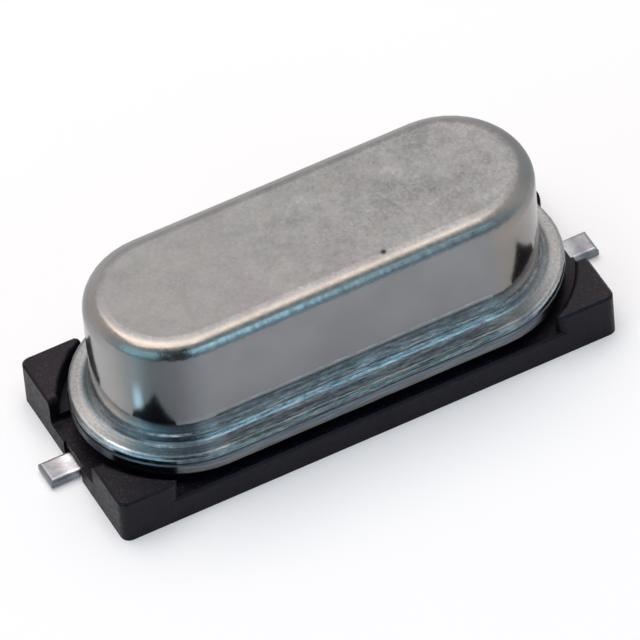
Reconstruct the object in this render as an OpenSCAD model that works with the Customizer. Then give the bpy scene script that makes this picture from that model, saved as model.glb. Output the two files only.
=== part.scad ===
// Quartz crystal unit in a low, resistance-welded metal case on a moulded surface-mount base.
// Origin: centre of the seating plane. X runs along the case and Z points up, all in millimetres.
// A drawn cover is welded to a header. Two wires pass through glass in the header, carry the
// quartz strip on slotted clips inside, and turn outwards under the insulator base below.

/* [Cover] */
// Length of the cover over its side wall
cover_l = 9.96; // [8:0.02:13]
// Width of the cover over its side wall
cover_w = 3.6; // [3:0.05:4.8]
// Height of the cover from its weld flange to its top
cover_h = 2.84; // [2.2:0.01:4]
// Thickness of the drawn sheet
sheet_t = 0.2; // [0.12:0.01:0.25]
// Outside radius between the side wall and the top
cover_top_r = 0.46; // [0.35:0.01:0.9]
// How far the weld flange stands out of the side wall
flange_out = 0.49; // [0.34:0.01:0.55]
// Outside radius of the bend between the side wall and the flange
flange_bend_r = 0.2; // [0.1:0.01:0.22]
// Radius of the flange's upper edge
flange_edge_r = 0.1; // [0.02:0.01:0.11]
// Radius of the flange's lower edge, at the weld seam
seam_edge_r = 0.04; // [0.02:0.01:0.06]

/* [Header] */
// Thickness of the header's weld rim
rim_t = 0.3; // [0.2:0.01:0.4]
// How far the rim shows outside the cover's flange
rim_out = 0.01; // [0.005:0.005:0.08]
// Radius of the rim's edges
rim_edge_r = 0.06; // [0.02:0.01:0.09]
// Height of the header's plug above the weld plane
plug_h = 0.51; // [0.35:0.01:0.7]
// Clearance between the plug and the inside of the cover
plug_gap = 0.08; // [0.04:0.01:0.2]
// Radius of the plug's upper edge
plug_edge_r = 0.12; // [0.05:0.01:0.2]
// Diameter of each glass seal
seal_d = 1.4; // [1:0.05:1.8]
// How far the glass is drawn down between the wire and the header
meniscus_h = 0.06; // [0.02:0.01:0.1]

/* [Leads] */
// Distance between the two wires
lead_pitch = 4.88; // [3.8:0.02:6.2]
// Diameter of the wire
wire_d = 0.43; // [0.34:0.01:0.55]
// Height of the wire above the plug
post_h = 0.14; // [0.08:0.01:0.25]
// Radius of the bend on the wire's centre line
wire_bend_r = 0.35; // [0.3:0.01:0.45]
// Clearance between the round wire and the seating plane
wire_lift = 0.01; // [0.005:0.005:0.04]
// Length of the round wire after its bend
wire_run = 0.3; // [0.1:0.05:0.6]
// Length over which the wire flattens
flatten_l = 0.6; // [0.3:0.05:1]
// Width of the flattened wire
tip_w = 0.62; // [0.5:0.01:0.9]
// Thickness of the flattened wire
tip_t = 0.26; // [0.22:0.01:0.32]
// Radius of the flattened wire's long edges
tip_edge_r = 0.09; // [0.03:0.01:0.1]
// Radius of the flattened wire's cut end, above and below
tip_end_r = 0.08; // [0.03:0.01:0.1]
// How far each flattened wire stands out of the base
tip_out = 0.65; // [0.3:0.05:1.2]

/* [Insulator base] */
// Lip of the base beyond the header's rim, along each side
side_lip = 0.05; // [0.005:0.005:0.3]
// Lip of the base beyond the header's rim, at each end
end_lip = 0.22; // [0.15:0.01:0.6]
// Radius of the base's upright corners
base_corner_r = 0.2; // [0.1:0.01:0.5]
// Width of the bevel round the upper edges
edge_break = 0.05; // [0.02:0.01:0.1]
// Height of the deck that carries the header
deck_h = 0.94; // [0.8:0.01:1.3]
// How far the deck's edge lies inside the header's rim
deck_inset = 0.55; // [0.3:0.05:0.8]
// Height of the low rail round the deck
rail_h = 0.63; // [0.55:0.01:0.75]
// Height of the saddle between two corner posts
saddle_h = 0.45; // [0.4:0.01:0.52]
// Radius at the foot of the saddle's walls
saddle_foot_r = 0.1; // [0.05:0.01:0.15]
// Radius where the saddle's walls meet the top of the corner posts
saddle_lip_r = 0.2; // [0.05:0.01:0.3]
// Height of the four corner posts
post_top_h = 1.09; // [1:0.01:1.35]
// Length of a corner post along X
post_l = 1.36; // [1:0.02:1.8]
// Width of a corner post along Y
post_w = 1.38; // [1:0.02:1.6]
// Radius of each post's upright corner on the long side of the base
post_corner_r = 0.25; // [0.1:0.01:0.35]
// Clearance between the corner posts and the header's rim
pocket_gap = 0.19; // [0.1:0.01:0.4]
// Radius of the posts' upper edge along that pocket
pocket_lip_r = 0.1; // [0.03:0.01:0.14]
// Clearance between a lead and the base
lead_gap = 0.06; // [0.03:0.01:0.1]
// Width of the relief in the end wall over each lead
relief_w = 0.8; // [0.76:0.02:1.4]
// Depth of that relief
relief_depth = 0.05; // [0.03:0.01:0.2]

/* [Crystal] */
// Thickness of the clip strip
clip_t = 0.1; // [0.06:0.01:0.14]
// Inside radius of the clip's bend
clip_bend_r = 0.08; // [0.05:0.01:0.12]
// Width of the clip's foot
clip_foot_w = 0.6; // [0.45:0.05:0.9]
// How far the foot reaches inwards past the wire's centre
clip_heel = 0.3; // [0.22:0.01:0.5]
// Width of the clip's upright tab
clip_tab_w = 1.1; // [0.8:0.05:1.5]
// Length of the slot that grips the blank
clip_grip = 1.1; // [0.7:0.05:1.3]
// Metal left between the clip's bend and its slot
slot_floor = 0.04; // [0.02:0.01:0.1]
// Clearance between the slot and each face of the blank
slot_gap = 0.06; // [0.05:0.01:0.1]
// Thickness of the quartz blank
blank_t = 0.17; // [0.1:0.01:0.22]
// Clearance between each end of the blank and the cover
blank_end_gap = 0.875; // [0.6:0.025:1.2]
// Clearance between the top of the blank and the cover
blank_headroom = 0.15; // [0.1:0.01:0.3]
// How far the blank reaches past the clip's tab
blank_overhang = 0.1; // [0.05:0.01:0.2]
// Thickness of the electrode film
film_t = 0.03; // [0.02:0.005:0.04]
// Length of the electrode pad
pad_l = 4.2; // [3:0.1:5]
// Bare quartz above and below the electrode pad
pad_margin = 0.24; // [0.15:0.01:0.4]
// Width of the film that runs from the pad to a clip
film_tail_w = 0.5; // [0.3:0.05:0.8]
// Radius of each bead of conductive adhesive
adhesive_r = 0.42; // [0.35:0.01:0.45]
// Height of the bead's centre above the floor of the slot
adhesive_z = 0.5; // [0.45:0.01:0.7]

/* [Hidden] */
$fn = 96;
// Cutters reach this far past the faces that they open
cut = 1;

// Every outline is an obround: arcs about these two centres, joined by straight sides
arc_x = (cover_l - cover_w) / 2;
wall_r = cover_w / 2;
inner_r = wall_r - sheet_t;
flange_r = wall_r + flange_out;
rim_r = flange_r + rim_out;
plug_r = inner_r - plug_gap;
deck_r = rim_r - deck_inset;
pocket_r = rim_r + pocket_gap;

weld_z = deck_h + rim_t;
plug_z = weld_z + plug_h;
post_z = plug_z + post_h;
inner_top_z = weld_z + cover_h - sheet_t;

lead_x = lead_pitch / 2;
wire_z = wire_d / 2 + wire_lift;
bend_z = wire_z + wire_bend_r;
run_x = lead_x + wire_bend_r;
flatten_x = run_x + wire_run;

base_l = 2 * (arc_x + rim_r + end_lip);
base_w = 2 * (rim_r + side_lip);
saddle_w = base_w - 2 * post_w;
tip_x = base_l / 2 + tip_out;

blank_l = 2 * (arc_x + inner_r - blank_end_gap);
tab_x = blank_l / 2 - blank_overhang - clip_t;
slot_z = post_z + clip_t + clip_bend_r + slot_floor;
blank_h = inner_top_z - blank_headroom - slot_z;
pad_h = blank_h - 2 * pad_margin;
bead_z = slot_z + adhesive_z;

// ---- Outlines and sweeps ----

// Quarter of a disc, in the +X +Y quadrant
module quarter_disc(r) {
    intersection() {
        circle(r);
        square(2 * r);
    }
}

// Quarter of a ring, in the +X +Y quadrant
module quarter_ring(r_in, t) {
    difference() {
        quarter_disc(r_in + t);
        circle(r_in);
    }
}

// What a round edge takes off a square corner at the origin, for metal in the +X +Y quadrant
module corner_spandrel(r) {
    difference() {
        square(r);
        translate([r, r]) circle(r);
    }
}

// Flat slab from the origin to w, with its outer edge rounded above, and below where r_low is given
module rounded_slab(w, t, r, r_low = 0) {
    difference() {
        square([w, t]);
        translate([w, t]) rotate(180) corner_spandrel(r);
        if (r_low > 0) translate([w, 0]) mirror([1, 0]) corner_spandrel(r_low);
    }
}

// Rectangle with rounded corners, centred on the origin
module rounded_rect(l, w, r) {
    square([l - 2 * r, w], center = true);
    square([l, w - 2 * r], center = true);
    for (x = [-1, 1], y = [-1, 1]) translate([x * (l / 2 - r), y * (w / 2 - r)]) circle(r);
}

// Obround outline of half-width r
module obround(r) {
    square([2 * arc_x, 2 * r], center = true);
    for (x = [-1, 1]) translate([x * arc_x, 0]) circle(r);
}

// Carries a half section round the obround: half a turn at each end, straight between
module obround_sweep() {
    for (side = [0, 1]) mirror([side, 0, 0]) translate([arc_x, 0, 0])
        rotate([0, 0, -90]) rotate_extrude(angle = 180) children();
    along_x(-arc_x, arc_x) for (side = [0, 1]) mirror([side, 0]) children();
}

// Outline in Y and Z carried along X
module along_x(x0, x1) {
    translate([x0, 0, 0]) rotate([90, 0, 90]) linear_extrude(x1 - x0) children();
}

// The right-hand copy, or the same mirrored to the left
module on_side(side) {
    mirror([side == "left" ? 1 : 0, 0, 0]) children();
}

// ---- Cover ----

// Section of the drawn sheet: flange, bend, side wall, top bend and top
module cover_section() {
    bend_x = wall_r + flange_bend_r;
    bend_top = sheet_t + flange_bend_r;
    translate([bend_x, 0]) rounded_slab(flange_r - bend_x, sheet_t, flange_edge_r, seam_edge_r);
    translate([bend_x, bend_top]) rotate(180) quarter_ring(flange_bend_r, sheet_t);
    translate([inner_r, bend_top]) square([sheet_t, cover_h - cover_top_r - bend_top]);
    translate([wall_r - cover_top_r, cover_h - cover_top_r]) quarter_ring(cover_top_r - sheet_t, sheet_t);
    translate([0, cover_h - sheet_t]) square([wall_r - cover_top_r, sheet_t]);
}

module cover() {
    color("silver") translate([0, 0, weld_z]) obround_sweep() cover_section();
}

// ---- Header and seals ----

// Section of the header: weld rim with rounded edges, and the plug that fills the cover's mouth
module header_section() {
    rounded_slab(rim_r, rim_t, rim_edge_r, rim_edge_r);
    translate([0, rim_t]) rounded_slab(plug_r, plug_h, plug_edge_r);
}

module header_plate() {
    color("lightgray") difference() {
        translate([0, 0, deck_h]) obround_sweep() header_section();
        for (x = [-lead_x, lead_x]) translate([x, 0, deck_h - cut])
            cylinder(d = seal_d, h = plug_z - deck_h + 2 * cut);
    }
}

// Glass bead with a hollow top, where the melt climbs the metal on both sides
module glass_seal(side) {
    web = (seal_d - wire_d) / 2;
    dish_r = (pow(web / 2, 2) + pow(meniscus_h, 2)) / (2 * meniscus_h);
    color("darkslategray") on_side(side) translate([lead_x, 0, deck_h]) rotate_extrude() difference() {
        translate([wire_d / 2, 0]) square([web, plug_z - deck_h]);
        translate([wire_d / 2 + web / 2, plug_z - deck_h + dish_r - meniscus_h]) circle(dish_r);
    }
}

// ---- Leads ----

// Wire up through the seal, bent outwards under the base and flattened to a solderable tip
module lead(side) {
    color("gainsboro") on_side(side) {
        translate([lead_x, 0, bend_z]) cylinder(d = wire_d, h = post_z - bend_z);
        translate([run_x, 0, bend_z]) rotate([90, 0, 0]) rotate([0, 0, 180]) rotate_extrude(angle = 90)
            translate([wire_bend_r, 0]) circle(d = wire_d);
        translate([run_x, 0, wire_z]) rotate([0, 90, 0]) cylinder(d = wire_d, h = wire_run);
        translate([flatten_x, 0, wire_z]) rotate([0, 90, 0])
            cylinder(d1 = wire_d, d2 = wire_lift, h = flatten_l);
        intersection() {
            along_x(flatten_x, tip_x) translate([0, tip_t / 2]) rounded_rect(tip_w, tip_t, tip_edge_r);
            linear_extrude(tip_t + cut) tip_outline();
            rotate([90, 0, 0]) linear_extrude(tip_w + cut, center = true)
                rounded_slab(tip_x, tip_t, tip_end_r, tip_end_r);
        }
    }
}

// Outline from above that lets the flattened wire widen from the round wire to its full tip
module tip_outline() {
    full_x = flatten_x + flatten_l;
    polygon([[flatten_x, -wire_d / 2], [full_x, -tip_w / 2], [full_x, tip_w / 2], [flatten_x, wire_d / 2]]);
    translate([full_x, -tip_w]) square([tip_x + cut - full_x, 2 * tip_w]);
}

// ---- Crystal and its mounting ----

// Strip welded on the wire, bent up into a slotted tab that grips one end of the blank
module mount_clip(side) {
    color("darkkhaki") on_side(side) {
        translate([lead_x - clip_heel, -clip_foot_w / 2, post_z])
            cube([tab_x - clip_bend_r - lead_x + clip_heel, clip_foot_w, clip_t]);
        translate([tab_x - clip_bend_r, clip_tab_w / 2, post_z + clip_t + clip_bend_r]) rotate([90, 0, 0])
            linear_extrude(clip_tab_w) mirror([0, 1]) quarter_ring(clip_bend_r, clip_t);
        along_x(tab_x, tab_x + clip_t) difference() {
            translate([-clip_tab_w / 2, slot_z - slot_floor]) square([clip_tab_w, slot_floor + clip_grip]);
            translate([-blank_t / 2 - slot_gap, slot_z]) square([blank_t + 2 * slot_gap, clip_grip + cut]);
        }
    }
}

module quartz_blank() {
    color("lightcyan") translate([-blank_l / 2, -blank_t / 2, slot_z]) cube([blank_l, blank_t, blank_h]);
}

// Film on one face of the blank, with a tail to the clip at one end
module electrode(face, end) {
    color("whitesmoke") translate([0, face * (blank_t + film_t) / 2, slot_z + blank_h / 2]) {
        cube([pad_l, film_t, pad_h], center = true);
        translate([end * (pad_l + blank_l) / 4, 0, bead_z - slot_z - blank_h / 2])
            cube([(blank_l - pad_l) / 2, film_t, film_tail_w], center = true);
    }
}

// Bead of conductive adhesive round the blank where its clip holds it
module adhesive(side) {
    color("dimgray") difference() {
        on_side(side) translate([tab_x + clip_t / 2, 0, bead_z]) sphere(adhesive_r);
        mount_clip(side);
        quartz_blank();
        electrode(-1, -1);
        electrode(1, 1);
    }
}

// ---- Insulator base ----

// Rounded plate with a narrow bevel round its upper edge
module beveled_plate(h) {
    straight_l = base_l - 2 * base_corner_r;
    straight_w = base_w - 2 * base_corner_r;
    linear_extrude(h - edge_break) rounded_rect(base_l, base_w, base_corner_r);
    translate([0, 0, h - edge_break]) {
        along_x(-straight_l / 2, straight_l / 2) bevel_section(base_w);
        rotate([0, 0, 90]) along_x(-straight_w / 2, straight_w / 2) bevel_section(base_l);
        for (x = [-1, 1], y = [-1, 1]) translate([x * straight_l / 2, y * straight_w / 2, 0])
            cylinder(r1 = base_corner_r, r2 = base_corner_r - edge_break, h = edge_break);
    }
}

module bevel_section(w) {
    polygon([[-w / 2, 0], [w / 2, 0], [w / 2 - edge_break, edge_break], [edge_break - w / 2, edge_break]]);
}

// Corner posts from above: rectangles with one round corner, cut back to a pocket that follows the rim
module post_outline() {
    difference() {
        for (x = [0, 1], y = [0, 1]) mirror([x, 0]) mirror([0, y])
            translate([base_l / 2 - post_l, base_w / 2 - post_w]) difference() {
                square([post_l, post_w]);
                translate([0, post_w]) mirror([0, 1]) corner_spandrel(post_corner_r);
            }
        obround(pocket_r);
    }
}

// Section of the cutter that rounds the posts' upper edge along the pocket
module pocket_lip_section() {
    translate([rim_r, post_top_h - pocket_lip_r]) difference() {
        square([pocket_gap + pocket_lip_r, pocket_lip_r + cut]);
        translate([pocket_gap + pocket_lip_r, 0]) circle(pocket_lip_r);
    }
}

// Section of the saddle that runs between the posts at each end
module saddle_section() {
    foot_w = saddle_w - 2 * saddle_foot_r;
    foot_z = saddle_h + saddle_foot_r;
    translate([-saddle_w / 2, foot_z]) square([saddle_w, post_top_h + cut - foot_z]);
    translate([-foot_w / 2, saddle_h]) square([foot_w, saddle_foot_r]);
    for (side = [0, 1]) mirror([side, 0]) {
        translate([foot_w / 2, foot_z]) mirror([0, 1]) quarter_disc(saddle_foot_r);
        translate([saddle_w / 2, post_top_h]) mirror([0, 1]) corner_spandrel(saddle_lip_r);
    }
}

// Way for one lead: hole, slot for the round wire, groove for the flat tip, and end relief
module lead_way() {
    slot_w = wire_d + 2 * lead_gap;
    translate([lead_x, 0, -cut]) cylinder(d = slot_w, h = deck_h + 2 * cut);
    slot_way(lead_x, flatten_x + flatten_l, slot_w, wire_z + wire_d / 2 + lead_gap);
    slot_way(flatten_x, base_l, tip_w + 2 * lead_gap, tip_t + lead_gap);
    slot_way(base_l / 2 - relief_depth, base_l, relief_w, post_top_h + cut);
}

// Cutter for a slot in the underside from x0 to x1
module slot_way(x0, x1, w, depth) {
    translate([x0, -w / 2, -cut]) cube([x1 - x0, w, depth + cut]);
}

module insulator_base() {
    color([0.1, 0.1, 0.11]) difference() {
        union() {
            difference() {
                union() {
                    beveled_plate(rail_h);
                    intersection() {
                        beveled_plate(post_top_h);
                        linear_extrude(post_top_h) post_outline();
                    }
                }
                along_x(-base_l, base_l) saddle_section();
                obround_sweep() pocket_lip_section();
            }
            linear_extrude(deck_h) obround(deck_r);
        }
        for (side = ["left", "right"]) on_side(side) lead_way();
    }
}

cover();
header_plate();
glass_seal("left");  // glass_seal_left
glass_seal("right");  // glass_seal_right
lead("left");  // lead_left
lead("right");  // lead_right
mount_clip("left");  // mount_clip_left
mount_clip("right");  // mount_clip_right
quartz_blank();
electrode(-1, -1);  // electrode_front
electrode(1, 1);  // electrode_back
adhesive("left");  // adhesive_left
adhesive("right");  // adhesive_right
insulator_base();
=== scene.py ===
"""Looks of the quartz crystal unit: studio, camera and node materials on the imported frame."""

import math

import bpy
from mathutils import Matrix, Vector


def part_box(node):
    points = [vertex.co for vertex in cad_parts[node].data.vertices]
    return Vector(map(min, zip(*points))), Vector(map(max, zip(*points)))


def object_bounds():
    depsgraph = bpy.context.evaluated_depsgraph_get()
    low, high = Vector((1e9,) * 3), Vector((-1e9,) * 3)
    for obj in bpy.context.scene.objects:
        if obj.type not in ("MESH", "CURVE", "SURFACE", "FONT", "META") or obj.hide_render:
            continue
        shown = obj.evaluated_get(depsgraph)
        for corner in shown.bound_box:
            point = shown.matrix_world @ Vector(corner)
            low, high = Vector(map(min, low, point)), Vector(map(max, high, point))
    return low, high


MM = 0.001

# Camera: where it looks from, in degrees and millimetres, and the point it looks at.
VIEW_AZIMUTH = -23.3
VIEW_ELEVATION = 47.47
VIEW_ROLL = -5.47
VIEW_DISTANCE = 223.4
VIEW_AIM = (0.073, 0.0, 1.285)
# Its lens and sensor in millimetres, and how near and far it sees, in metres.
LENS = 612.8
SENSOR = 36.0
CLIP = (0.01, 10)

# Studio colours, as red, green and blue.
WARM = (1.0, 0.88, 0.79)
COOL = (0.34, 0.79, 0.98)
ROOM_COOL = (0.42, 0.58, 0.68)
ROOM_WARM = (1.0, 0.97, 0.93)
PAPER_GLOW = (1.0, 0.95, 1.0)

# The room turns from cool to warm towards this azimuth, between two cosines. Metal and glass see all of its
# light, and matte surfaces this share.
ROOM_AZIMUTH = 160
ROOM_FADE = (-0.45, 0.35)
ROOM_SPILL = 0.3

# Floor: side, gap under the object, colour, and the glow it adds for the camera and in reflections.
FLOOR_SIZE = 3.0
FLOOR_GAP = 0.004 * MM
FLOOR_COLOUR = (0.76, 0.80, 0.85)
FLOOR_LIFT = 0.215
FLOOR_GLOSS_LIFT = 0.12

# The large softbox overhead: place and size in metres, turn in degrees, radiance.
KEY_PLACE = (-0.022, 0.072, 0.30)
KEY_SIZE = (0.32, 0.352)
KEY_TURN = -20.0
KEY_RADIANCE = 2.75

# The smaller softboxes: name, azimuth and elevation, distance and size in metres, radiance and colour.
STRIPS = (
    ("left_softbox", -146, 70, 0.28, (0.13, 0.13), 0.9, WARM),
    ("cool_strip_right", 12, 32, 0.28, (0.17, 0.105), 1.1, COOL),
    ("cool_strip_left", -66, 25, 0.28, (0.22, 0.16), 0.9, COOL),
)

# The dark of the camera stand: azimuth, distance, half width and height in metres, and colour.
STAND_AZIMUTH = -24
STAND_DISTANCE = 0.30
STAND_HALF_WIDTH = 0.115
STAND_HEIGHT = 0.42
STAND_COLOUR = (0.16, 0.18, 0.20)

# The cover's flange stands this far out of its wall, in millimetres.
FLANGE_OUT = 0.49
# Heights above the cover's foot, in millimetres: where its flange turns into the wall, where the painted
# sheen on the wall's foot fades out, and a painted line there that mirrors the flange's edge.
FLANGE_TOP = (0.37, 0.43)
FOOT_FADE = (0.48, 0.80)
EDGE_REFLECTION_HEIGHT = 0.79
# The straight runs turn into the round ends between these, in millimetres past the centre of an end.
ENDS_FADE = (-0.4, 0.9)
# The seam under the flange is dark up to this height, in millimetres.
SEAM_HEIGHT = 0.05
# A dark speck on the cover's top: its centre and radius, in millimetres.
SPECK = (1.03, -1.35)
SPECK_R = 0.06
# How steeply the cover's top and the bend under it face up, from where each starts to where it is full.
TOP_FACING = (0.91, 0.992)
BEND_FACING = (0.35, 0.8)
# Streaks left by drawing and by scoring: how fast they change along and across the outline.
DRAWN = (0.35, 4.0)
SCORED = (1.3, 8.0)
# Relief on the cover, in millimetres deep.
GRAIN_DEPTH = 0.0012
SCORE_DEPTH = 0.0032
DENT_DEPTH = 0.0085
PEEL_DEPTH = 0.0006
WAVE_DEPTH = 0.004
# The header plate's rim lies this far below its plug's top, in millimetres.
HEADER_RIM_DOWN = 0.51

# Bare metal, as linear colours: the cover's polished and satin nickel, the plated header, the tinned leads.
POLISHED = (0.236, 0.237, 0.240)
SATIN_COOL = (0.184, 0.191, 0.199)
SATIN_NEUTRAL = (0.188, 0.189, 0.199)
HEADER_DARK = (0.13, 0.135, 0.14)
HEADER_LIGHT = (0.31, 0.31, 0.31)
TIN_DARK = (0.196, 0.203, 0.227)
TIN_LIGHT = (0.255, 0.262, 0.288)

# The tints below are factors on those colours, and a single number is a grey. None is over this.
BRIGHTEST = 4.0
UNTINTED = (1.0, 1.0, 1.0)
# The upright sides of the leads are darker and warmer, and the header's rim round its ends has painted shade
# under the flange, most at the left.
TIN_SIDES = (0.84, 0.80, 0.76)
HEADER_SHADE = (0.14, 0.15, 0.17)
# The painted reflection on the lower half of the front bend, from left to right, and the painted glint on the
# left of the wall.
BEND_LEFT = (1.30, 1.36, 1.40)
BEND_RIGHT = (0.66, 0.50, 0.50)
GLINT = (1.9, 3.0, 3.4)
# The colour of the painted line that mirrors the flange's edge.
EDGE_REFLECTION = (0.45, 0.68, 0.77)

# Angles round the cover are in degrees: 0 all along the straight front, 90 at the right tip, 180 all along
# the straight back, -90 at the left tip. The painted glint on the wall and the painted glare on the flange's
# rim:
GLINT_ANGLE = -51
GLARE_ANGLE = -61

# Painted reflections: brighter and darker upright bands round the wall.
WALL_REFLECTION_BANDS = (
    (-180, 1.0), (-105, 1.0), (-90, (1.4, 1.38, 1.36)), (-68, (1.55, 1.50, 1.42)), (-58, (1.0, 1.04, 1.04)),
    (-51, (0.9, 1.14, 1.2)), (-42, (0.42, 0.50, 0.52)), (-30, (0.52, 0.54, 0.57)), (-20, (0.62, 0.64, 0.70)),
    (-8, (0.98, 1.02, 1.08)), (0, (1.06, 1.08, 1.12)), (8, (1.20, 1.10, 1.0)), (20, (1.16, 1.04, 0.94)),
    (38, (1.10, 1.06, 1.02)), (50, (1.12, 1.08, 1.07)), (62, (0.90, 0.89, 0.91)), (82, (0.60, 0.59, 0.61)),
    (98, 0.75), (125, 1.0), (180, 1.0),
)

# Painted highlight and shade on the bend between wall and top: warmer at the front, darker at the right end,
# lighter at the back.
BEND_HIGHLIGHT_BANDS = (
    (-180, (1.3, 1.28, 1.26)), (-135, (1.22, 1.20, 1.18)), (-105, (1.04, 1.0, 1.0)), (-75, (1.10, 1.0, 0.94)),
    (-45, (1.15, 1.03, 0.94)), (0, (1.15, 1.06, 0.98)), (25, (1.10, 1.04, 0.98)), (60, (0.74, 0.77, 0.81)),
    (95, (0.76, 0.76, 0.78)), (125, 0.95), (150, (1.22, 1.20, 1.18)), (180, (1.3, 1.28, 1.26)),
)

# Painted sheen: how much brighter the foot of the wall is made, round the cover.
FOOT_SHEEN_BANDS = (
    (-180, 1.0), (-115, 1.1), (-80, 1.5), (-60, 1.7), (-40, 3.2), (-20, 3.2), (0, 2.6), (60, 2.8), (85, 2.3),
    (115, 1.1), (180, 1.0),
)

# The weld's heat tint round the flange, with painted shade darker round the front of both ends and along the
# back.
HEAT_AND_SHADE_BANDS = (
    (-180, 0.7), (-112, 0.58), (-82, (1.02, 1.0, 0.98)), (-62, (0.85, 0.9, 0.92)), (-45, (0.46, 0.60, 0.66)),
    (-18, (0.36, 0.42, 0.46)), (-2, 1.0), (2, 1.0), (14, (0.52, 0.56, 0.58)), (32, (0.60, 0.61, 0.61)),
    (52, (0.72, 0.71, 0.71)), (75, (0.62, 0.61, 0.61)), (180, 0.7),
)

# Tints of the streaks along the weld, by the value of a noise.
STREAK_TINTS = (
    (0.30, (0.90, 0.98, 1.08)), (0.43, (0.94, 1.04, 1.0)), (0.52, (1.04, 1.0, 0.97)),
    (0.62, (0.90, 1.06, 1.0)), (0.72, (1.0, 0.95, 1.04)),
)

# Stations across the flange, in millimetres out from the wall: foot, inner bend, flat and edge.
STATIONS = (
    -0.02, 0.001, 0.008, 0.027, 0.06, 0.10, 0.15, 0.20, 0.25, 0.30, 0.35,
    FLANGE_OUT - 0.10, FLANGE_OUT - 0.05, FLANGE_OUT - 0.01, FLANGE_OUT,
)

# The weld's tint with painted reflections and highlights at each station, along the straight runs and round
# the left and the right end.
RUN_TINTS = (
    1.7, 1.65, (1.2, 1.2, 1.25), (0.6, 0.56, 0.6), (0.9, 0.92, 1.0), (0.62, 0.96, 1.22), (0.30, 0.37, 0.47),
    (1.1, 1.08, 1.18), (0.82, 0.74, 0.76), (0.78, 0.74, 0.77), (1.08, 1.05, 1.08), (0.66, 0.63, 0.70),
    (0.36, 0.37, 0.36), (0.50, 0.68, 0.75), (0.7, 0.74, 0.8),
)
LEFT_TINTS = (
    2.3, 1.8, (0.9, 0.92, 0.95), 0.55, 0.66, (0.50, 0.55, 0.58), (0.58, 0.68, 0.74),
    (1.22, 1.25, 1.28), (1.7, 1.66, 1.62), (1.42, 1.40, 1.40), (1.5, 1.46, 1.46), (1.35, 1.32, 1.32),
    1.1, (1.7, 1.75, 1.8), (0.8, 0.82, 0.85),
)
RIGHT_TINTS = (
    2.6, 2.2, 1.6, (0.9, 0.9, 0.88), 1.0, (1.15, 1.18, 1.2), (0.80, 0.82, 0.85),
    (1.35, 1.34, 1.33), (1.65, 1.62, 1.6), (1.6, 1.57, 1.55), (1.55, 1.52, 1.5), (1.65, 1.62, 1.6),
    (1.7, 1.67, 1.65), 1.7, 0.9,
)
# The metal of both ends is a little cooler as a whole.
ENDS_CAST = (0.985, 1.03, 1.09)

# Painted highlights and shade in patches on the flange's ends: angle and half width in degrees, distance out
# from the wall and half width in millimetres, and how bright they are.
PAINTED_PATCHES = (
    (-105, 32, 0.02, 0.05, 1.9), (-82, 22, 0.08, 0.045, 1.5), (-60, 20, 0.11, 0.05, 0.3),
    (-68, 20, 0.0, 0.012, 0.45), (-28, 22, 0.0, 0.015, 2.3), (-40, 13, 0.06, 0.045, 0.6),
    (-40, 13, 0.15, 0.035, 1.6), (-18, 13, 0.034, 0.022, 3.0), (-17, 13, 0.005, 0.012, 0.15),
    (-28, 24, FLANGE_OUT - 0.07, 0.05, 0.52), (-42, 20, FLANGE_OUT, 0.025, 2.4),
    (-108, 36, FLANGE_OUT - 0.015, 0.06, 0.16), (16, 24, 0.005, 0.02, 0.45),
    (12, 14, FLANGE_OUT - 0.08, 0.05, 0.6), (32, 22, FLANGE_OUT - 0.015, 0.035, 1.9),
    (70, 26, 0.012, 0.035, 2.6),
)


def linear(r, g, b):
    """Display red, green and blue, 0 to 255, as linear values."""
    return tuple(
        c / 255 / 12.92 if c / 255 <= 0.04045 else ((c / 255 + 0.055) / 1.055) ** 2.4
        for c in (r, g, b)
    )


def add_node(tree, kind, **settings):
    """A new shader node of that kind, with its settings."""
    made = tree.nodes.new("ShaderNode" + kind)
    for name, value in settings.items():
        setattr(made, name, value)
    return made


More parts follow.
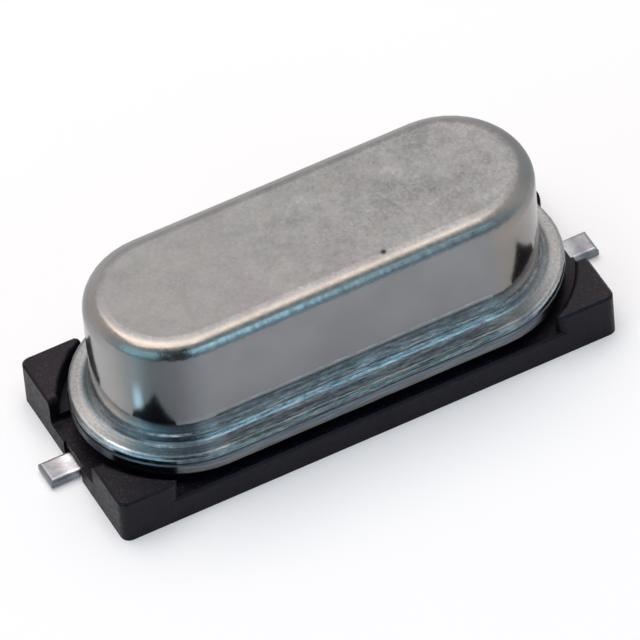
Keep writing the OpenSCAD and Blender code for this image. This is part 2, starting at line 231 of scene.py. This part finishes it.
class Graph:
    """A material's node tree, with short calls for the nodes that the looks use."""

    def __init__(self, name):
        self.material = bpy.data.materials.new(name)
        self.material.use_nodes = True
        self.tree = self.material.node_tree
        self.tree.nodes.clear()
        self.shader = self.node("BsdfPrincipled")
        self.tree.links.new(self.shader.outputs["BSDF"], self.node("OutputMaterial").inputs["Surface"])
        place = self.node("TexCoord").outputs["Object"]
        self.mm = self.vector("SCALE", place, scale=1 / MM)
        self.relief = None

    def node(self, kind, **settings):
        return add_node(self.tree, kind, **settings)

    def put(self, value, socket):
        """A number or colour goes on the socket, and a node's output is linked to it."""
        if isinstance(value, bpy.types.NodeSocket):
            self.tree.links.new(value, socket)
        elif isinstance(value, tuple) and len(value) == 3 and socket.type == "RGBA":
            socket.default_value = (*value, 1)
        else:
            socket.default_value = value

    def set(self, **values):
        """Sets the shader's own inputs: set(Metallic=1, Base_Color=...)."""
        for name, value in values.items():
            self.put(value, self.shader.inputs[name.replace("_", " ")])

    def vector(self, operation, a, b=None, scale=None):
        made = self.node("VectorMath", operation=operation)
        self.put(a, made.inputs[0])
        if b is not None:
            self.put(b, made.inputs[1])
        if scale is not None:
            made.inputs["Scale"].default_value = scale
        return made.outputs["Value" if operation in ("LENGTH", "DOT_PRODUCT") else "Vector"]

    def math(self, operation, a, b=0.0):
        made = self.node("Math", operation=operation)
        self.put(a, made.inputs[0])
        self.put(b, made.inputs[1])
        return made.outputs[0]

    def times(self, first, *others):
        for other in others:
            first = self.math("MULTIPLY", first, other)
        return first

    def plus(self, first, *others):
        for other in others:
            first = self.math("ADD", first, other)
        return first

    def minus(self, a, b):
        return self.math("SUBTRACT", a, b)

    def split(self, value):
        made = self.node("SeparateXYZ")
        self.put(value, made.inputs[0])
        return made.outputs["X"], made.outputs["Y"], made.outputs["Z"]

    def join(self, x, y, z):
        made = self.node("CombineXYZ")
        for socket, value in zip(made.inputs, (x, y, z)):
            self.put(value, socket)
        return made.outputs[0]

    def ramp(self, value, low, high, out_low=0.0, out_high=1.0, smooth=True):
        """out_low where value is low or less, out_high where it is high or more."""
        made = self.node("MapRange", interpolation_type="SMOOTHSTEP" if smooth else "LINEAR")
        for socket, v in zip(("Value", "From Min", "From Max", "To Min", "To Max"),
                             (value, low, high, out_low, out_high)):
            self.put(v, made.inputs[socket])
        return made.outputs["Result"]

    def near(self, value, centre, inner, outer):
        """1 where value is within inner of centre, 0 where it is further than outer."""
        off = self.math("ABSOLUTE", self.minus(value, centre))
        return self.ramp(off, inner, outer, 1.0, 0.0)

    def within(self, value, low, from_low, to_high, high):
        """1 where value is from from_low to to_high, 0 where it is under low or over high."""
        return self.times(self.ramp(value, low, from_low), self.ramp(value, to_high, high, 1.0, 0.0))

    def vary(self, noise, low, high, smooth=True):
        """Spreads a noise, which stays mostly between 0.3 and 0.7, from low to high."""
        return self.ramp(noise, 0.3, 0.7, low, high, smooth)

    def bands(self, value, stops, curve="EASE"):
        """A tint that follows value through the stops, each a value and its tint, up to BRIGHTEST."""
        low, high = stops[0][0], stops[-1][0]
        made = self.node("ValToRGB")
        made.color_ramp.interpolation = curve
        self.put(self.ramp(value, low, high, smooth=False), made.inputs["Fac"])
        ends = made.color_ramp.elements
        for number, (at, tint) in enumerate(stops):
            if number in (0, len(stops) - 1):
                stop = ends[0 if number == 0 else -1]
            else:
                stop = ends.new((at - low) / (high - low))
            tint = tint if isinstance(tint, tuple) else (tint,) * 3
            stop.color = (*(c / BRIGHTEST for c in tint), 1)
        return self.tinted(made.outputs["Color"], (BRIGHTEST,) * 3)

    def noise(self, scale, detail, stretch=None, rough=0.5, place=None, seed=0.0):
        """Noise of scale features per millimetre, about 0.5 on average."""
        place = self.mm if place is None else place
        if stretch is not None:
            place = self.vector("MULTIPLY", place, stretch)
        made = self.node("TexNoise", noise_dimensions="4D")
        self.put(place, made.inputs["Vector"])
        self.put(seed, made.inputs["W"])
        for name, v in (("Scale", scale), ("Detail", detail), ("Roughness", rough)):
            made.inputs[name].default_value = v
        return made.outputs["Fac"]

    def mix(self, factor, a, b, blend="MIX"):
        made = self.node("Mix", data_type="RGBA", blend_type=blend)
        self.put(factor, made.inputs["Factor"])
        self.put(a, made.inputs["A"])
        self.put(b, made.inputs["B"])
        return made.outputs["Result"]

    def blend(self, factor, a, b):
        made = self.node("Mix", data_type="FLOAT")
        self.put(factor, made.inputs["Factor"])
        self.put(a, made.inputs["A"])
        self.put(b, made.inputs["B"])
        return made.outputs["Result"]

    def tinted(self, colour, tint):
        """colour times another colour."""
        return self.mix(1.0, colour, tint, "MULTIPLY")

    def scaled(self, colour, factor):
        """colour times a number."""
        return self.tinted(colour, self.join(factor, factor, factor))

    def bump(self, height, depth_mm):
        """Adds relief: height 0 to 1 stands depth_mm deep. Calls add up."""
        scaled = self.times(height, depth_mm)
        self.relief = scaled if self.relief is None else self.plus(self.relief, scaled)

    def finish(self):
        """The material, with its relief on the shader."""
        if self.relief is not None:
            made = self.node("Bump")
            made.inputs["Strength"].default_value = 1.0
            made.inputs["Distance"].default_value = MM
            self.put(self.relief, made.inputs["Height"])
            self.put(made.outputs["Normal"], self.shader.inputs["Normal"])
        return self.material


def facing_up(g):
    """1 on a surface that faces up, 0 on an upright one, -1 on one that faces down."""
    return g.split(g.node("NewGeometry").outputs["Normal"])[2]


class Obround:
    """Where a point is on a round-ended piece: height, distance out from the wall, angle, share of end."""

    def __init__(self, g, low, high):
        self.g = g
        self.x, self.y, self.z = g.split(g.mm)
        self.height = g.minus(self.z, low.z / MM)
        outer_r = (high.y - low.y) / 2 / MM
        end_x = (high.x - low.x) / 2 / MM - outer_r
        nearest = g.math("MAXIMUM", g.math("MINIMUM", self.x, end_x), -end_x)
        across = g.minus(self.x, nearest)
        self.radius = g.vector("LENGTH", g.join(across, self.y, 0.0))
        self.out = g.minus(self.radius, outer_r - FLANGE_OUT)
        self.angle = g.math("DEGREES", g.math("ARCTAN2", across, g.times(self.y, -1.0)))
        self.ends = g.ramp(g.math("ABSOLUTE", self.x), *(end_x + past for past in ENDS_FADE))

    def streaked(self, along, across):
        """A place that moves slowly along the outline and fast across it: noise there makes streaks."""
        g = self.g
        return g.join(g.times(self.x, along), g.times(self.y, along), g.times(self.radius, across))


class CoverMetal:
    """Drawn nickel: satin top, burnished walls, and a flange tinted and streaked by its weld, with painted
    reflections, highlights and shade on the wall, bend and flange.
    """

    def __init__(self, low, high):
        g = self.g = Graph("drawn_nickel")
        plan = self.plan = Obround(g, low, high)
        self.up = facing_up(g)

        # Masks: the flange with its bend, the top, the front between the ends, the flange's frosted flat
        self.foot = g.ramp(plan.height, *FLANGE_TOP, 1.0, 0.0)
        self.top = g.times(g.ramp(self.up, *TOP_FACING), g.minus(1.0, self.foot))
        self.front_run = g.times(g.near(plan.angle, 0, 60, 100), g.minus(1.0, plan.ends))
        self.frosted = g.times(g.ramp(self.up, 0.80, 0.97), g.blend(plan.ends, 0.5, 1.0))

        self.grain = g.noise(16, 3)
        self.peel = g.noise(7, 3, seed=8)
        self.score = g.noise(4, 3, place=plan.streaked(*SCORED), rough=0.7, seed=g.times(plan.z, 8.0))
        self.polished = g.scaled(POLISHED, g.vary(g.noise(0.8, 3, seed=5), 0.94, 1.06))

    def satin(self):
        """The top: mottled grain, clusters of bright pricks, hair lines, and a dark speck."""
        g, plan = self.g, self.plan
        mottle = g.vary(g.noise(1.2, 5, rough=1.0, seed=3), -0.26, 0.26, smooth=False)
        clusters = g.ramp(g.noise(1.3, 2, seed=12), 0.42, 0.62)
        pricks = g.times(g.ramp(g.noise(20, 2, seed=11), 0.60, 0.74), clusters)
        scuffs = g.ramp(g.noise(2.1, 2, seed=14), 0.5, 0.62)
        hair = g.times(g.near(g.noise(1.7, 3, seed=13), 0.5, 0.0, 0.012), scuffs)
        marks = g.plus(mottle, g.times(pricks, 0.30), g.times(hair, 0.12))
        busier_right = g.ramp(plan.x, -3.5, 4.0, 0.7, 1.6)
        tone = g.plus(g.times(marks, busier_right), 1.03)

        off_speck = g.vector("LENGTH", g.vector("SUBTRACT", g.join(plan.x, plan.y, 0.0), (*SPECK, 0.0)))
        tone = g.times(tone, g.ramp(off_speck, SPECK_R * 0.25, SPECK_R * 1.7, 0.12, 1.0))
        cast = g.ramp(g.noise(1.1, 2, seed=15), 0.4, 0.6)
        return g.scaled(g.mix(cast, SATIN_COOL, SATIN_NEUTRAL), tone)

    def upright(self):
        """The wall with its painted reflections, painted glint and painted sheen on its foot, and the bend
        above it with painted highlight and shade.
        """
        g, plan = self.g, self.plan
        # Painted reflections in upright bands round the wall
        wall = g.bands(plan.angle, WALL_REFLECTION_BANDS, "B_SPLINE")
        # Painted highlight and shade on the bend, by angle round the cover
        shade = g.mix(g.ramp(self.up, *BEND_FACING), wall, g.bands(plan.angle, BEND_HIGHLIGHT_BANDS))

        # The painted reflection on the lower half of the front bend is rippled, and fades to the right
        ripple = g.vary(g.noise(6, 2, place=g.join(plan.x, 0.0, 0.0), seed=17), 0.72, 1.3, smooth=False)
        reflection_fade = g.mix(g.ramp(plan.x, -3.0, 3.2, smooth=False), BEND_LEFT, BEND_RIGHT)
        low_bend = g.times(g.within(self.up, 0.45, 0.55, 0.68, 0.74), self.front_run)
        shade = g.mix(low_bend, shade, g.tinted(shade, g.scaled(reflection_fade, ripple)))

        # A painted glint, narrow and upright, on the left of the front
        glint = g.times(g.near(plan.angle, GLINT_ANGLE, 0.5, 5.0), g.within(plan.height, 0.9, 1.2, 1.3, 2.0))
        shade = g.mix(g.times(glint, 0.8), shade, GLINT)

        # Painted sheen on the wall's foot, brighter round the cover
        near_foot = g.ramp(plan.height, *FOOT_FADE, 1.0, 0.0)
        gain = g.blend(near_foot, 1.0, g.bands(plan.angle, FOOT_SHEEN_BANDS))
        upright = g.scaled(g.tinted(self.polished, shade), gain)
        # A painted line along the front that mirrors the flange's edge
        edge_reflection = g.times(g.near(plan.height, EDGE_REFLECTION_HEIGHT, 0.01, 0.035), g.ramp(self.score, 0.40, 0.62))
        return g.mix(g.times(edge_reflection, self.front_run, 0.5), upright, EDGE_REFLECTION)

    def flange(self):
        """The flange with its bends: weld tint and painted reflections across it, painted highlights and
        shade at its ends, heat tint with painted shade, and streaks.
        """
        g, plan = self.g, self.plan
        run, left, right = (
            g.bands(plan.out, tuple(zip(STATIONS, tints))) for tints in (RUN_TINTS, LEFT_TINTS, RIGHT_TINTS)
        )
        ends = g.tinted(g.mix(g.ramp(plan.angle, -5, 5), left, right), ENDS_CAST)
        # A painted glare on the flange's rim at the left end
        rim = g.near(plan.out, FLANGE_OUT - 0.055, 0.02, 0.06)
        glare = g.times(g.near(plan.angle, GLARE_ANGLE, 2.0, 13.0), rim)
        ends = g.scaled(ends, g.ramp(glare, 0.0, 1.0, 1.0, 1.85))
        # Painted highlights and shade in patches
        for angle, spread, out, width, gain in PAINTED_PATCHES:
            around = g.near(plan.angle, angle, spread * 0.2, spread)
            patch = g.times(around, g.near(plan.out, out, 0.0, width))
            ends = g.scaled(ends, g.ramp(patch, 0.0, 1.0, 1.0, gain))

        # The weld's heat tint with painted shade, by angle round the flange
        heat_and_shade = g.mix(g.ramp(plan.out, 0.0, 0.03), UNTINTED, g.bands(plan.angle, HEAT_AND_SHADE_BANDS))
        tint = g.tinted(g.mix(plan.ends, run, ends), heat_and_shade)

        # Streaks along the weld, in hue and in brightness, which give way to plain grain round the ends
        drawn = plan.streaked(*DRAWN)
        hue = g.noise(1.6, 2, place=drawn, seed=g.plus(plan.z, 20.0))
        tint = g.mix(g.blend(plan.ends, 1.0, 0.3), tint, g.tinted(tint, g.bands(hue, STREAK_TINTS)))
        streak = g.ramp(g.noise(4, 3, place=drawn, seed=g.times(plan.z, 4.0)), 0.34, 0.66, 0.66, 1.34)
        scored = g.times(streak, g.ramp(self.score, 0.32, 0.68, 0.4, 1.65, smooth=False))
        tint = g.scaled(tint, g.blend(plan.ends, scored, g.vary(self.grain, 0.84, 1.16)))
        dark_seam = g.ramp(plan.height, 0.0, SEAM_HEIGHT, 0.4, 1.0)
        return g.scaled(g.tinted(self.polished, tint), dark_seam)

    def roughness(self):
        """Burnished walls, with the bend frosted at the back and the right end, and a satin top."""
        g, plan, up = self.g, self.plan, self.up
        wall, bend = g.vary(self.grain, 0.11, 0.16), g.vary(self.peel, 0.16, 0.28)
        smoother_foot = g.ramp(plan.height, 0.5, 1.0, 0.55, 1.0)
        burnished = g.times(g.blend(g.ramp(up, 0.1, 0.5), wall, bend), smoother_foot)
        frosted_side = g.math("MAXIMUM", g.ramp(plan.angle, 30, 70), g.ramp(plan.angle, -160, -115, 1.0, 0.0))
        upright = g.blend(g.times(frosted_side, g.ramp(up, 0.05, 0.4)), burnished, 0.40)
        flange = g.blend(self.frosted, g.vary(self.score, 0.16, 0.32), 0.42)
        return g.blend(self.top, g.blend(self.foot, upright, flange), g.vary(self.grain, 0.38, 0.50))

    def relief(self):
        """Fine grain where it is frosted, score lines on the flange, a dented bend, slow waves all over."""
        g = self.g
        satin = g.math("MAXIMUM", self.top, g.times(self.frosted, self.foot))
        bend = g.within(self.up, 0.05, 0.2, 0.66, 0.80)
        g.bump(g.times(g.noise(40, 2, seed=7), satin), GRAIN_DEPTH)
        g.bump(g.times(self.score, self.foot), SCORE_DEPTH)
        g.bump(g.times(g.noise(7, 3, seed=16), bend), DENT_DEPTH)
        g.bump(self.peel, PEEL_DEPTH)
        g.bump(g.noise(0.5, 2, seed=2), WAVE_DEPTH)

    def material(self):
        g = self.g
        sides = g.mix(self.foot, self.upright(), self.flange())
        g.set(Metallic=1.0, Base_Color=g.mix(self.top, sides, self.satin()), Roughness=self.roughness())
        self.relief()
        return g.finish()


def header_metal(low, high):
    """Bare nickel-plated steel: a streaked rim, darker and bluer towards its top, with painted shade round
    its ends.
    """
    g = Graph("header_nickel")
    plan = Obround(g, low, high)
    streak = g.noise(4, 3, place=plan.streaked(*DRAWN), seed=g.times(plan.z, 14.0))
    rim = high.z / MM - HEADER_RIM_DOWN
    # Darker and bluer towards the top of the rim
    rim_tones = g.bands(plan.z, (
        (rim - 0.30, 0.9), (rim - 0.22, (0.64, 0.64, 0.66)), (rim - 0.16, (0.78, 0.78, 0.80)),
        (rim - 0.10, (0.70, 0.80, 0.94)), (rim - 0.04, (0.68, 0.76, 0.86)), (rim, (0.42, 0.36, 0.38)),
    ))
    # Painted shade on the rim round its ends, under the flange, most at the left
    shaded_end = g.times(plan.ends, g.ramp(plan.angle, -80, -50, 1.0, 0.25))
    colour = g.tinted(g.mix(g.vary(streak, 0.0, 1.0), HEADER_DARK, HEADER_LIGHT), rim_tones)
    colour = g.tinted(colour, g.mix(shaded_end, UNTINTED, HEADER_SHADE))
    g.set(Metallic=1.0, Base_Color=colour, Roughness=g.vary(streak, 0.2, 0.38))
    g.bump(streak, 0.003)
    return g.finish()


def tinned_metal(base_high):
    """Tin on copper wire, flattened by a die: soft sheen, small dents, a slight bow at the root and a painted
    highlight along it.
    """
    g = Graph("tin_plate")
    x = g.math("ABSOLUTE", g.split(g.mm)[0])
    dents = g.noise(3.0, 3, seed=31)
    grain = g.noise(8, 3, seed=32)
    root = base_high.x / MM
    # A painted highlight near the root
    root_highlight = g.ramp(x, root + 0.06, root + 0.34, 1.75, 1.0)
    tin = g.scaled(g.mix(g.ramp(dents, 0.35, 0.65), TIN_DARK, TIN_LIGHT), root_highlight)
    # The upright sides are made darker and warmer
    sides = g.near(facing_up(g), 0.0, 0.70, 0.97)
    tin = g.mix(sides, tin, g.tinted(tin, TIN_SIDES))
    g.set(Metallic=1.0, Base_Color=tin, Roughness=g.vary(grain, 0.26, 0.32))
    g.bump(g.ramp(x, root - 0.1, root + 0.45, 1.0, 0.0), 0.045)
    g.bump(dents, 0.012)
    g.bump(grain, 0.0003)
    return g.finish()


def moulded_plastic():
    """Black glass-filled plastic: fine spark-eroded grain, dull, slightly blue, with light specks of filler
    painted as sparkle where it faces up.
    """
    g = Graph("black_moulding")
    up = facing_up(g)
    grain = g.noise(12, 3, seed=41)
    speck = g.noise(26, 2, seed=42)
    cloud = g.noise(0.9, 3, seed=43)
    colour = g.mix(g.ramp(cloud, 0.35, 0.65), linear(10, 8, 15), linear(17, 15, 23))
    colour = g.scaled(colour, g.vary(g.noise(10, 3, rough=0.7, seed=44), 0.4, 1.6, smooth=False))
    # Light specks of filler, painted only where the surface faces up: a painted sparkle
    light = g.times(g.ramp(speck, 0.54, 0.70), g.ramp(up, 0.7, 0.95))
    colour = g.mix(g.times(light, 0.45), colour, linear(70, 66, 72))
    g.set(Base_Color=colour, Roughness=g.vary(grain, 0.36, 0.50), Specular_IOR_Level=0.19,
          Specular_Tint=(0.92, 0.85, 0.97))
    g.bump(grain, 0.004)
    g.bump(speck, 0.0022)
    return g.finish()


def seal_glass():
    """Dark green-grey sealing glass with small bubbles."""
    g = Graph("sealing_glass")
    bubbles = g.node("TexVoronoi")
    g.put(g.mm, bubbles.inputs["Vector"])
    bubbles.inputs["Scale"].default_value = 9
    spot = g.ramp(bubbles.outputs["Distance"], 0.06, 0.16, 1.0, 0.0)
    cloud = g.noise(2, 3, seed=51)
    colour = g.mix(cloud, linear(34, 52, 50), linear(52, 74, 70))
    g.set(Base_Color=g.mix(spot, colour, linear(96, 118, 112)), Roughness=g.vary(cloud, 0.06, 0.14))
    g.bump(spot, 0.004)
    return g.finish()


def clip_metal():
    """Rolled nickel silver strip."""
    g = Graph("nickel_silver_strip")
    rolled = g.noise(6, 3, stretch=(1.0, 6.0, 1.0), seed=61)
    g.set(Metallic=1.0, Base_Color=g.mix(rolled, linear(188, 184, 172), linear(206, 202, 190)),
          Roughness=g.vary(rolled, 0.22, 0.38))
    g.bump(rolled, 0.0015)
    return g.finish()


def quartz_crystal():
    """Clear lapped and etched quartz."""
    g = Graph("quartz")
    etch = g.noise(12, 3, seed=71)
    g.set(Base_Color=g.mix(etch, (0.93, 0.95, 0.96), (0.98, 0.99, 1.0)), IOR=1.54, Transmission_Weight=0.9,
          Roughness=g.vary(etch, 0.08, 0.22))
    g.bump(etch, 0.0008)
    return g.finish()


def silver_film():
    """Evaporated silver."""
    g = Graph("evaporated_silver")
    haze = g.noise(3, 4, seed=81)
    g.set(Metallic=1.0, Base_Color=g.mix(haze, linear(226, 224, 218), linear(242, 240, 236)),
          Roughness=g.vary(haze, 0.12, 0.26))
    g.bump(g.noise(20, 2, seed=82), 0.0006)
    return g.finish()


def conductive_epoxy():
    """Silver-filled epoxy: grey, grainy, half matte."""
    g = Graph("silver_epoxy")
    flakes = g.noise(24, 3, seed=91)
    g.set(Metallic=g.ramp(flakes, 0.45, 0.6, 0.2, 0.9), Roughness=g.vary(flakes, 0.38, 0.6),
          Base_Color=g.mix(flakes, linear(140, 138, 134), linear(192, 190, 186)))
    g.bump(flakes, 0.006)
    return g.finish()


def dress(frame, materials):
    """Gives every CAD node its material."""
    for node, material in materials.items():
        for slot in frame["nodes"][node].material_slots:
            slot.material = material


def toward(azimuth, elevation):
    """Unit vector from the object: azimuth 0 is the front, 90 the right."""
    a, e = math.radians(azimuth), math.radians(elevation)
    return Vector((math.sin(a) * math.cos(e), -math.cos(a) * math.cos(e), math.sin(e)))


def softbox(name, place, rotation, size, radiance, colour):
    """A rectangular area lamp. size is in metres."""
    lamp = bpy.data.lights.new(name, "AREA")
    lamp.shape = "RECTANGLE"
    lamp.size, lamp.size_y = size
    lamp.energy = radiance * math.pi * size[0] * size[1]
    lamp.color = colour
    holder = bpy.data.objects.new(name, lamp)
    holder.location = place
    holder.rotation_mode = "QUATERNION"
    holder.rotation_quaternion = rotation
    bpy.context.scene.collection.objects.link(holder)


def strip(name, azimuth, elevation, distance, size, radiance, colour):
    """A softbox in that direction from the object, facing it."""
    way = toward(azimuth, elevation)
    softbox(name, way * distance, way.to_track_quat("Z", "Y"), size, radiance, colour)


def plane(name, corners, material):
    """A flat four-cornered sheet of the studio."""
    mesh = bpy.data.meshes.new(name)
    mesh.from_pydata(corners, [], [(0, 1, 2, 3)])
    mesh.materials.append(material)
    made = bpy.data.objects.new(name, mesh)
    bpy.context.scene.collection.objects.link(made)


def paper(name, colour, lift, gloss_lift):
    """Matte paper. It glows by lift where the camera sees it, and by gloss_lift in metal and glass."""
    g = Graph(name)
    rays = g.node("LightPath").outputs
    mirrored = g.math("MAXIMUM", rays["Is Glossy Ray"], rays["Is Transmission Ray"])
    strength = g.plus(g.times(rays["Is Camera Ray"], lift), g.times(mirrored, gloss_lift))
    fibre = g.noise(0.4, 3)
    g.set(Base_Color=g.mix(fibre, colour, tuple(min(1.0, c * 1.01) for c in colour)), Roughness=0.9,
          Specular_IOR_Level=0.0, Emission_Color=PAPER_GLOW, Emission_Strength=strength)
    made = g.finish()
    made.cycles.emission_sampling = "NONE"
    return made


def room():
    """The room round the studio: warm white behind, cool grey in front."""
    world = bpy.data.worlds.new("studio")
    bpy.context.scene.world = world
    world.use_nodes = True
    world.cycles.sampling_method = "NONE"
    tree = world.node_tree

    side = add_node(tree, "VectorMath", operation="DOT_PRODUCT")
    tree.links.new(add_node(tree, "TexCoord").outputs["Generated"], side.inputs[0])
    side.inputs[1].default_value = toward(ROOM_AZIMUTH, 0)
    fade = add_node(tree, "MapRange", interpolation_type="SMOOTHSTEP")
    tree.links.new(side.outputs["Value"], fade.inputs["Value"])
    fade.inputs["From Min"].default_value, fade.inputs["From Max"].default_value = ROOM_FADE
    colour = add_node(tree, "Mix", data_type="RGBA")
    tree.links.new(fade.outputs["Result"], colour.inputs["Factor"])
    colour.inputs["A"].default_value = (*ROOM_COOL, 1)
    colour.inputs["B"].default_value = (*ROOM_WARM, 1)
    rays = add_node(tree, "LightPath").outputs
    strength = add_node(tree, "MapRange")
    tree.links.new(rays["Is Diffuse Ray"], strength.inputs["Value"])
    strength.inputs["To Min"].default_value, strength.inputs["To Max"].default_value = 1.0, ROOM_SPILL
    background = tree.nodes["Background"]
    tree.links.new(colour.outputs["Result"], background.inputs["Color"])
    tree.links.new(strength.outputs["Result"], background.inputs["Strength"])


def studio(low):
    """Pale floor, a large warm softbox overhead, smaller ones round it, and the dark of the camera stand."""
    z, half = low.z - FLOOR_GAP, FLOOR_SIZE / 2
    plane("floor", [(-half, -half, z), (half, -half, z), (half, half, z), (-half, half, z)],
          paper("floor_paper", FLOOR_COLOUR, FLOOR_LIFT, FLOOR_GLOSS_LIFT))
    turn = Matrix.Rotation(math.radians(KEY_TURN), 3, "Z").to_quaternion()
    softbox("key_softbox", KEY_PLACE, turn, KEY_SIZE, KEY_RADIANCE, WARM)
    for settings in STRIPS:
        strip(*settings)

    foot = toward(STAND_AZIMUTH, 0) * STAND_DISTANCE
    wide = toward(STAND_AZIMUTH + 90, 0) * STAND_HALF_WIDTH
    tall = Vector((0, 0, STAND_HEIGHT))
    corners = (foot - wide, foot + wide, foot + wide + tall, foot - wide + tall)
    plane("camera_stand", [tuple(corner) for corner in corners], paper("dark_card", STAND_COLOUR, 0.0, 0.0))
    room()


def camera():
    """Sees the object from the front left and above, leaning a little to the left."""
    roll = math.radians(VIEW_ROLL)
    back = toward(VIEW_AZIMUTH, VIEW_ELEVATION)
    right = toward(VIEW_AZIMUTH + 90, 0)
    up = back.cross(right)
    x_axis = right * math.cos(roll) + up * math.sin(roll)
    y_axis = up * math.cos(roll) - right * math.sin(roll)
    data = bpy.data.cameras.new("camera")
    data.lens, data.sensor_width = LENS, SENSOR
    data.clip_start, data.clip_end = CLIP
    made = bpy.data.objects.new("camera", data)
    place = Matrix.Translation((Vector(VIEW_AIM) + back * VIEW_DISTANCE) * MM)
    made.matrix_world = place @ Matrix((x_axis, y_axis, back)).transposed().to_4x4()
    bpy.context.scene.collection.objects.link(made)
    bpy.context.scene.camera = made


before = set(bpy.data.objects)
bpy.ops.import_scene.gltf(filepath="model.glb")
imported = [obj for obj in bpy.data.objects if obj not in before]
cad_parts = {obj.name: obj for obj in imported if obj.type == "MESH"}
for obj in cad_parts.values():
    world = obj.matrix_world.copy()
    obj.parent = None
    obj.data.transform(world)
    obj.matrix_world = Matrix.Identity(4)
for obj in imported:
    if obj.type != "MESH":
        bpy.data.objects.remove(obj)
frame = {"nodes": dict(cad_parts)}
cad_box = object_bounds()
camera()
bpy.context.scene.view_settings.view_transform = "Standard"

dress(frame, {
    "cover": CoverMetal(*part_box("cover")).material(),
    "header_plate": header_metal(*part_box("header_plate")),
    **dict.fromkeys(["lead_left", "lead_right"], tinned_metal(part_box("insulator_base")[1])),
    "insulator_base": moulded_plastic(),
    **dict.fromkeys(["glass_seal_left", "glass_seal_right"], seal_glass()),
    **dict.fromkeys(["mount_clip_left", "mount_clip_right"], clip_metal()),
    "quartz_blank": quartz_crystal(),
    **dict.fromkeys(["electrode_front", "electrode_back"], silver_film()),
    **dict.fromkeys(["adhesive_left", "adhesive_right"], conductive_epoxy()),
})
studio(cad_box[0])
